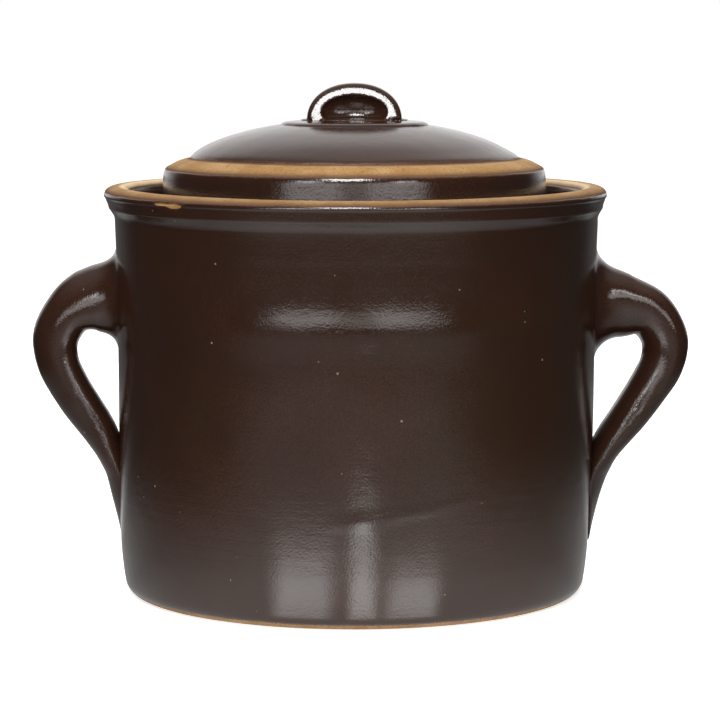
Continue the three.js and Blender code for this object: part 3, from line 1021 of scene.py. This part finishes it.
def make_world():
    """A dim room with a white sheet behind the pot, a pale ceiling and low windows in front.

    The camera sees plain white instead."""
    world = bpy.data.worlds.new("studio")
    bpy.context.scene.world = world
    world.use_nodes = True
    nodes = Nodes(world.node_tree)
    direction = nodes.add("ShaderNodeTexCoord").outputs["Generated"]
    axes = nodes.add("ShaderNodeSeparateXYZ", Vector=direction)
    above = axes.outputs[2]
    sheet = nodes.product(towards(nodes, axes, 1, 0.95, 0.64), nodes.spread(above, 0.55, 0.95, 1.0, 0.3))
    ceiling = nodes.spread(above, 0.45, 0.95, 0.0, 0.45)
    sill = nodes.spread(above, 0.0, 0.045)
    lintel = nodes.spread(above, 0.19, 0.30, 3.4, 0.0)
    post = nodes.spread(towards(nodes, axes, -1, 1.0, 0.975), 0.1, 0.9, 1.0, 0.5)
    windows = nodes.product(towards(nodes, axes, -1, 0.80, 0.68), nodes.product(sill, lintel), post)
    room = 0.05
    strength = nodes.total(nodes.total(sheet, ceiling), nodes.total(windows, room))
    light = nodes.add("ShaderNodeBackground", Color=(1, 0.99, 0.98, 1), Strength=strength)
    white = nodes.add("ShaderNodeBackground", Color=(1, 1, 1, 1))
    surface = camera_sees(nodes, white.outputs[0], light.outputs[0])
    nodes.finish(surface, "ShaderNodeOutputWorld")


def table_glow(nodes, place):
    """How brightly the table shows in the glaze: a bright patch round the pot, wider in front of it
    and behind it than at its sides, and dark further off. Distances in metres."""
    axes = nodes.add("ShaderNodeSeparateXYZ", Vector=place)
    distance = nodes.add("ShaderNodeVectorMath", {"operation": "LENGTH"}, Vector=place).outputs["Value"]
    ahead = towards(nodes, axes, -1, 0.60, 0.0)
    behind = towards(nodes, axes, 1, 0.88, 0.60)
    round_pot = nodes.total(0.55, nodes.product(nodes.total(ahead, behind), 0.45))
    near = nodes.product(nodes.spread(distance, 0.13, 0.50, 0.78, 0.08), round_pot)
    front = nodes.product(towards(nodes, axes, -1, 0.88, 0.45), nodes.spread(distance, 0.85, 1.4, 0.38, 0.0))
    back = nodes.product(behind, nodes.spread(distance, 0.35, 0.95, 0.55, 0.04))
    return nodes.total(near, nodes.total(front, back))


def make_floor():
    """A table top that the camera sees as plain white, and that falls off in the glaze."""
    size, drop = 6000, -0.2
    corners = [(-size, -size, drop), (size, -size, drop), (size, size, drop), (-size, size, drop)]
    floor = make_object("table_top", corners, [(0, 1, 2, 3)])
    material, nodes = new_material("table_white")
    place = nodes.add("ShaderNodeTexCoord").outputs["Object"]
    light = nodes.add("ShaderNodeEmission", Color=(1, 0.985, 0.97, 1), Strength=table_glow(nodes, place))
    paper = nodes.add("ShaderNodeBsdfDiffuse", Color=(0.9, 0.9, 0.9, 1))
    glow = nodes.add("ShaderNodeEmission", Color=(1, 1, 1, 1), Strength=0.72)
    pale = nodes.both(paper.outputs[0], glow.outputs[0])
    nodes.finish(camera_sees(nodes, pale, light.outputs[0]))
    floor.data.materials.append(material)


def aim(made, place, target):
    made.location = place
    made.rotation_mode = "QUATERNION"
    made.rotation_quaternion = (Vector(target) - Vector(place)).to_track_quat("-Z", "Y")


def softbox(name, angle, elevation, distance, size, radiance, shines=True, lights=True):
    """A rectangular lamp aimed at the pot. Size and distance in metres, angle from the front.

    One that doesn't shine leaves no bright reflection in the glaze; one that doesn't light is seen
    only as a reflection."""
    lamp = bpy.data.lights.new(name, "AREA")
    lamp.shape = "RECTANGLE"
    lamp.size, lamp.size_y = size
    lamp.energy = radiance * math.pi * size[0] * size[1]
    made = bpy.data.objects.new(name, lamp)
    bpy.context.scene.collection.objects.link(made)
    turn, tilt = math.radians(angle), math.radians(elevation)
    target = Vector((0, 0, 0.12))
    away = Vector((math.sin(turn) * math.cos(tilt), -math.cos(turn) * math.cos(tilt), math.sin(tilt)))
    aim(made, target + away * distance, target)
    made.visible_camera = False
    made.visible_glossy = shines
    made.visible_diffuse = lights


def pool_light(name, radiance):
    """Light off the table's sheen: weak straight down, strong at a slant, weak again when grazing.

    The mesh's glow measure says how bright each point of the patch is."""
    material, nodes = new_material(name)
    slant = nodes.add("ShaderNodeFresnel", IOR=1.5).outputs[0]
    sheen = nodes.spread(slant, 0.045, 0.13, 0.0, radiance)
    sheen = nodes.product(sheen, nodes.spread(slant, 0.55, 0.72, 1.0, 0.2))
    strength = nodes.product(nodes.measure("glow"), sheen)
    light = nodes.add("ShaderNodeEmission", Color=(1, 1, 1, 1), Strength=strength)
    clear = nodes.add("ShaderNodeBsdfTransparent")
    nodes.finish(nodes.both(light.outputs[0], clear.outputs[0]))
    return material


POOL_HEIGHT = 0.3


def light_pool(name, corners, radiance, steps=12):
    """A patch of window light on the table in front of the pot, soft at its edges.

    Its corners are (x, y): near left, near right, far right, far left. Only reflections show it."""
    near_left, near_right, far_right, far_left = [np.array(corner, float) for corner in corners]
    points, glow = [], []
    for row in range(steps + 1):
        along = row / steps
        for column in range(steps + 1):
            across = column / steps
            near = near_left * (1 - across) + near_right * across
            far = far_left * (1 - across) + far_right * across
            x, y = near * (1 - along) + far * along
            points.append((x, y, POOL_HEIGHT))
            edge = min(across, 1 - across)
            glow.append(smoothstep(0, 0.25, edge) * (1 - smoothstep(0.3, 1, along)) * (1.1 - along / 4))
    faces = []
    for row in range(steps):
        for column in range(steps):
            k = row * (steps + 1) + column
            faces.append((k, k + 1, k + steps + 2, k + steps + 1))
    pool = make_object(name, points, faces)
    set_measure(pool, "glow", glow)
    pool.data.materials.append(pool_light(name, radiance))
    pool.visible_camera = False
    pool.visible_diffuse = False
    pool.visible_shadow = False


def make_lights():
    """The key lamp, two that only sparkle, one that only lights, and the light on the table."""
    softbox("key_lamp", -5, 36, 1.7, (0.60, 0.45), 25)
    softbox("left_lamp", -28, 21, 1.9, (0.42, 0.30), 10, lights=False)
    softbox("right_lamp", 29, 20, 1.9, (0.38, 0.26), 9, lights=False)
    softbox("top_lamp", 0, 85, 1.6, (1.0, 0.8), 7.0, shines=False)
    light_pool("pool_left", [(-43, -104), (-8, -112), (-30, -345), (-200, -285)], 3.3)
    light_pool("pool_middle", [(-5, -113), (13, -113), (72, -480), (-14, -490)], 4.6)
    light_pool("pool_right", [(10, -112), (43, -104), (150, -215), (54, -255)], 3.4)


def make_camera():
    """A long lens from a little above the rim, looking slightly down."""
    camera = bpy.data.cameras.new("camera")
    camera.sensor_width = 36
    camera.lens = 152.3
    camera.clip_end = 60
    made = bpy.data.objects.new("camera", camera)
    bpy.context.scene.collection.objects.link(made)
    made.location = (0.0026, -1.420, 0.266)
    downward = 6.35
    made.rotation_euler = (math.radians(90 - downward), 0, 0)
    bpy.context.scene.camera = made


make_camera()
build_object()
make_world()
make_floor()
make_lights()
bpy.context.scene.view_settings.view_transform = "Standard"
bpy.context.scene.view_settings.look = "None"
